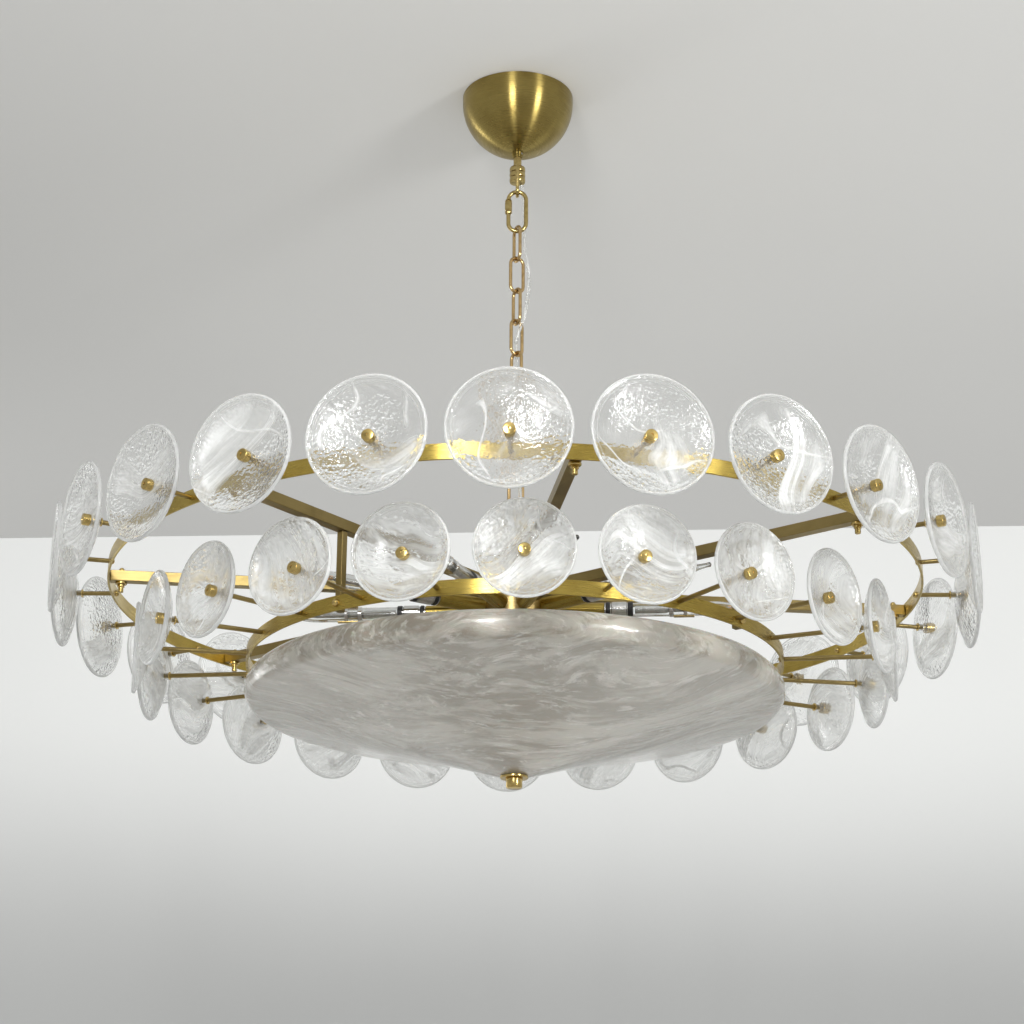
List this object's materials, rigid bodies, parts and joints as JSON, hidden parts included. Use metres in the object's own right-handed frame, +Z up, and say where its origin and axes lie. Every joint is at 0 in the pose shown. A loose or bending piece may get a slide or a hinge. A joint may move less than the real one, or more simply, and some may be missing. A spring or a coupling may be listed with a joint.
{
  "type": "glass disc chandelier",
  "caption": "Hanging chandelier with two tiers of dished glass discs on brass rings, a shallow glass bowl below, spokes from a hub, and a chain with a dome canopy.",
  "frame": {"origin": "centre of the ceiling crossbar's top face, on the chandelier's vertical axis", "axes": "+Z up, -Y towards the viewer of the picture, +X to the viewer's right"},
  "size_m": [1.0258, 1.0258, 0.8516],
  "materials": {
    "brass": "satin, lightly lacquered",
    "chain_brass": "satin, reddish",
    "lamp_glass": "clear tube in brass and silver sockets",
    "disc_glass": "clear with white swirls",
    "bowl_glass": "cloudy grey-beige, polished",
    "cord_plastic": "clear"
  },
  "bodies": {
    "ceiling": {"ceiling_hanger": "brass"},
    "canopy": {"canopy": "brass"},
    "quick_link": {"quick_link": "brass"},
    "quick_link_sleeve": {"quick_link_sleeve": "brass"},
    "chain_upper": {"chain_upper": "chain_brass"},
    "chain_middle": {"chain_middle": "chain_brass", "power_cord": "cord_plastic"},
    "chain_lower": {"chain_lower": "chain_brass"},
    "fixture": {"hub_frame": "brass", "lamp_cluster": "lamp_glass", "outer_ring": "brass", "inner_ring": "brass", "bowl": "bowl_glass", "outer_disc_01": "disc_glass", "outer_disc_02": "disc_glass", "outer_disc_03": "disc_glass", "outer_disc_04": "disc_glass", "outer_disc_05": "disc_glass", "outer_disc_06": "disc_glass", "outer_disc_07": "disc_glass", "outer_disc_08": "disc_glass", "outer_disc_09": "disc_glass", "outer_disc_10": "disc_glass", "outer_disc_11": "disc_glass", "outer_disc_12": "disc_glass", "outer_disc_13": "disc_glass", "outer_disc_14": "disc_glass", "outer_disc_15": "disc_glass", "outer_disc_16": "disc_glass", "outer_disc_17": "disc_glass", "outer_disc_18": "disc_glass", "outer_disc_19": "disc_glass", "outer_disc_20": "disc_glass", "outer_disc_21": "disc_glass", "outer_disc_22": "disc_glass", "outer_disc_23": "disc_glass", "outer_disc_24": "disc_glass", "inner_disc_01": "disc_glass", "inner_disc_02": "disc_glass", "inner_disc_03": "disc_glass", "inner_disc_04": "disc_glass", "inner_disc_05": "disc_glass", "inner_disc_06": "disc_glass", "inner_disc_07": "disc_glass", "inner_disc_08": "disc_glass", "inner_disc_09": "disc_glass", "inner_disc_10": "disc_glass", "inner_disc_11": "disc_glass", "inner_disc_12": "disc_glass", "inner_disc_13": "disc_glass", "inner_disc_14": "disc_glass", "inner_disc_15": "disc_glass", "inner_disc_16": "disc_glass", "inner_disc_17": "disc_glass", "inner_disc_18": "disc_glass", "inner_disc_19": "disc_glass", "inner_disc_20": "disc_glass", "inner_disc_21": "disc_glass", "inner_disc_22": "disc_glass"},
    "finial": {"finial": "brass"}
  },
  "joints": [
    {"name": "canopy_slide", "type": "slide", "parent": "ceiling", "child": "canopy", "axis": [0, 0, 1], "range_m": [-0.0132, 0]},
    {"name": "quick_link_swing", "type": "hinge", "parent": "ceiling", "child": "quick_link", "pos_m": [0, 0, -0.1309], "axis": [0, 1, 0], "range_deg": [-25, 25], "deforming": ["power_cord"]},
    {"name": "sleeve_slide", "type": "slide", "parent": "quick_link", "child": "quick_link_sleeve", "axis": [0, 0, 1], "range_m": [-0.012, 0]},
    {"name": "chain_upper_swing", "type": "hinge", "parent": "quick_link", "child": "chain_upper", "pos_m": [0, 0, -0.178], "axis": [1, 0, 0], "range_deg": [-25, 25], "deforming": ["power_cord"]},
    {"name": "chain_middle_swing", "type": "hinge", "parent": "chain_upper", "child": "chain_middle", "pos_m": [0, 0, -0.2983], "axis": [-0.4962, 0.8682, 0], "range_deg": [-25, 25], "deforming": ["power_cord"]},
    {"name": "chain_lower_swing", "type": "hinge", "parent": "chain_middle", "child": "chain_lower", "pos_m": [0, 0, -0.4197], "axis": [0.6018, 0.7986, 0], "range_deg": [-25, 25], "deforming": ["power_cord"]},
    {"name": "fixture_swing", "type": "hinge", "parent": "chain_lower", "child": "fixture", "pos_m": [0, 0, -0.5411], "axis": [0.9713, -0.2377, 0], "range_deg": [-25, 25], "deforming": ["power_cord"]},
    {"name": "finial_turn", "type": "hinge", "parent": "fixture", "child": "finial", "pos_m": [0, 0, -0.838], "axis": [0, 0, 1], "continuous": true}
  ]
}
